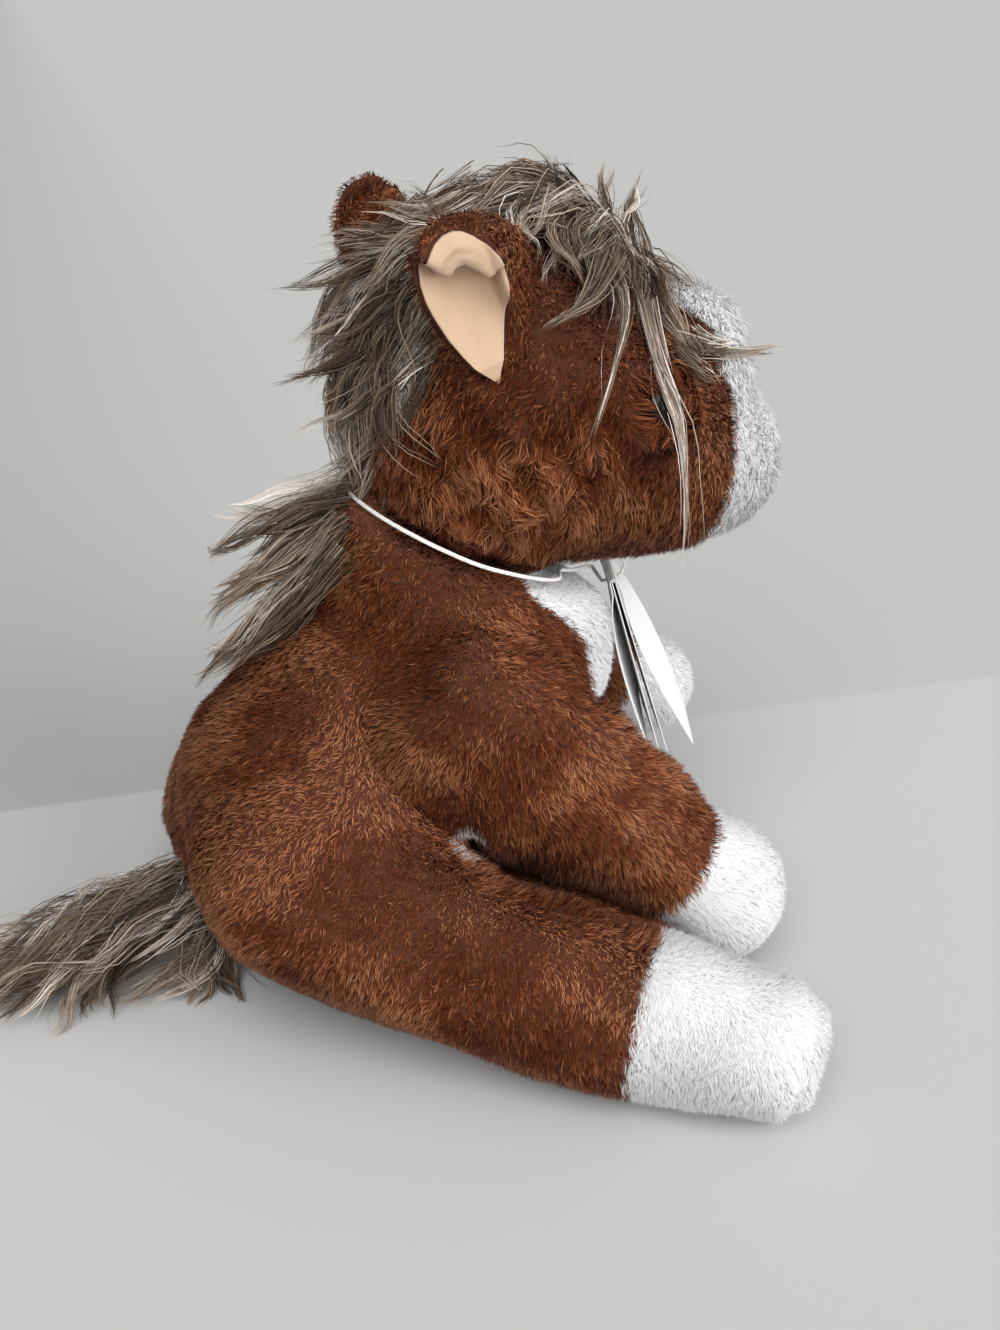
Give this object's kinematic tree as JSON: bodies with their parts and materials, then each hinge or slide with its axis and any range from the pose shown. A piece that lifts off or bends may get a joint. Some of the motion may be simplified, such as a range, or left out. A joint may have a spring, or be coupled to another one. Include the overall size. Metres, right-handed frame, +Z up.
{
  "type": "plush horse",
  "caption": "Seated plush horse with a turning head, flapping ears, posable legs, long hair, a weighted seat and a swing tag on a neck cord.",
  "frame": {"origin": "the flat seat on the floor, under the torso and in the horse's middle plane", "axes": "+X forward past the chest, +Y to the horse's left, +Z up"},
  "size_m": [0.3778, 0.3442, 0.3034],
  "materials": {
    "brown_plush": "short chestnut plush with a slight sheen",
    "white_plush": "short white plush",
    "tan_velour": "smooth tan velour",
    "taupe_hair": "long streaked taupe hair",
    "fibre_fill": "loose white fibre",
    "bag_cloth": "plain woven bag with pellets in it",
    "white_elastic": "thin braided elastic",
    "black_plastic": "gloss black",
    "washer_plastic": "plain moulded",
    "white_card": "smooth white card"
  },
  "bodies": {
    "torso": {"torso_skin": "brown_plush", "chest_bib": "white_plush", "pellet_bag": "bag_cloth", "torso_stuffing": "fibre_fill", "withers_tuft": "taupe_hair", "neck_cord": "white_elastic"},
    "head": {"head_skin": "brown_plush", "blaze": "white_plush", "muzzle": "white_plush", "head_stuffing": "fibre_fill", "right_eye": "black_plastic", "right_eye_washer": "washer_plastic", "left_eye": "black_plastic", "left_eye_washer": "washer_plastic", "forelock": "taupe_hair", "mane": "taupe_hair"},
    "right_ear": {"right_ear_outer": "brown_plush", "right_ear_lining": "tan_velour"},
    "left_ear": {"left_ear_outer": "brown_plush", "left_ear_lining": "tan_velour"},
    "right_front_leg": {"right_front_leg_skin": "brown_plush", "right_front_leg_foot": "white_plush", "right_front_leg_stuffing": "fibre_fill"},
    "left_front_leg": {"left_front_leg_skin": "brown_plush", "left_front_leg_foot": "white_plush", "left_front_leg_stuffing": "fibre_fill"},
    "right_hind_leg": {"right_hind_leg_skin": "brown_plush", "right_hind_leg_foot": "white_plush", "right_hind_leg_sole": "white_plush", "right_hind_leg_stuffing": "fibre_fill"},
    "left_hind_leg": {"left_hind_leg_skin": "brown_plush", "left_hind_leg_foot": "white_plush", "left_hind_leg_sole": "white_plush", "left_hind_leg_stuffing": "fibre_fill"},
    "tail": {"tail": "taupe_hair"},
    "tag": {"tag_cover_sheet": "white_card", "tag_inner_sheet": "white_card"}
  },
  "joints": [
    {"name": "head_turn", "type": "hinge", "parent": "torso", "child": "head", "pos_m": [0.04401, 0, 0.1715], "axis": [0.4478, 0, 0.8942], "range_deg": [-26, 14], "stiffness_Nm_per_rad": 0.6},
    {"name": "right_ear_flap", "type": "hinge", "parent": "head", "child": "right_ear", "pos_m": [0.0475, -0.04741, 0.2457], "axis": [0.923, -0.0591, 0.3802], "range_deg": [0, 35], "stiffness_Nm_per_rad": 0.02},
    {"name": "left_ear_flap", "type": "hinge", "parent": "head", "child": "left_ear", "pos_m": [0.03928, 0.04011, 0.24982], "axis": [-0.9385, -0.2088, -0.275], "range_deg": [0, 35], "stiffness_Nm_per_rad": 0.02},
    {"name": "right_front_leg_lift", "type": "hinge", "parent": "torso", "child": "right_front_leg", "pos_m": [0.04, -0.052, 0.1155], "axis": [0, -1, 0], "range_deg": [0, 35], "stiffness_Nm_per_rad": 0.4},
    {"name": "left_front_leg_lift", "type": "hinge", "parent": "torso", "child": "left_front_leg", "pos_m": [0.04, 0.052, 0.1155], "axis": [0, -1, 0], "range_deg": [-10, 30], "stiffness_Nm_per_rad": 0.4},
    {"name": "right_hind_leg_splay", "type": "hinge", "parent": "torso", "child": "right_hind_leg", "pos_m": [-0.05, -0.052, 0.0415], "axis": [0, 0, -1], "range_deg": [0, 15], "stiffness_Nm_per_rad": 0.6},
    {"name": "left_hind_leg_splay", "type": "hinge", "parent": "torso", "child": "left_hind_leg", "pos_m": [-0.05, 0.052, 0.0415], "axis": [0, 0, 1], "range_deg": [0, 15], "stiffness_Nm_per_rad": 0.6},
    {"name": "tail_lift", "type": "hinge", "parent": "torso", "child": "tail", "pos_m": [-0.07834, 0, 0.05], "axis": [0, 1, 0], "range_deg": [0, 45]},
    {"name": "tag_swing", "type": "hinge", "parent": "torso", "child": "tag", "pos_m": [0.1137, 0.01149, 0.13945], "axis": [-0.225, -0.9744, 0], "range_deg": [0, 20]}
  ]
}
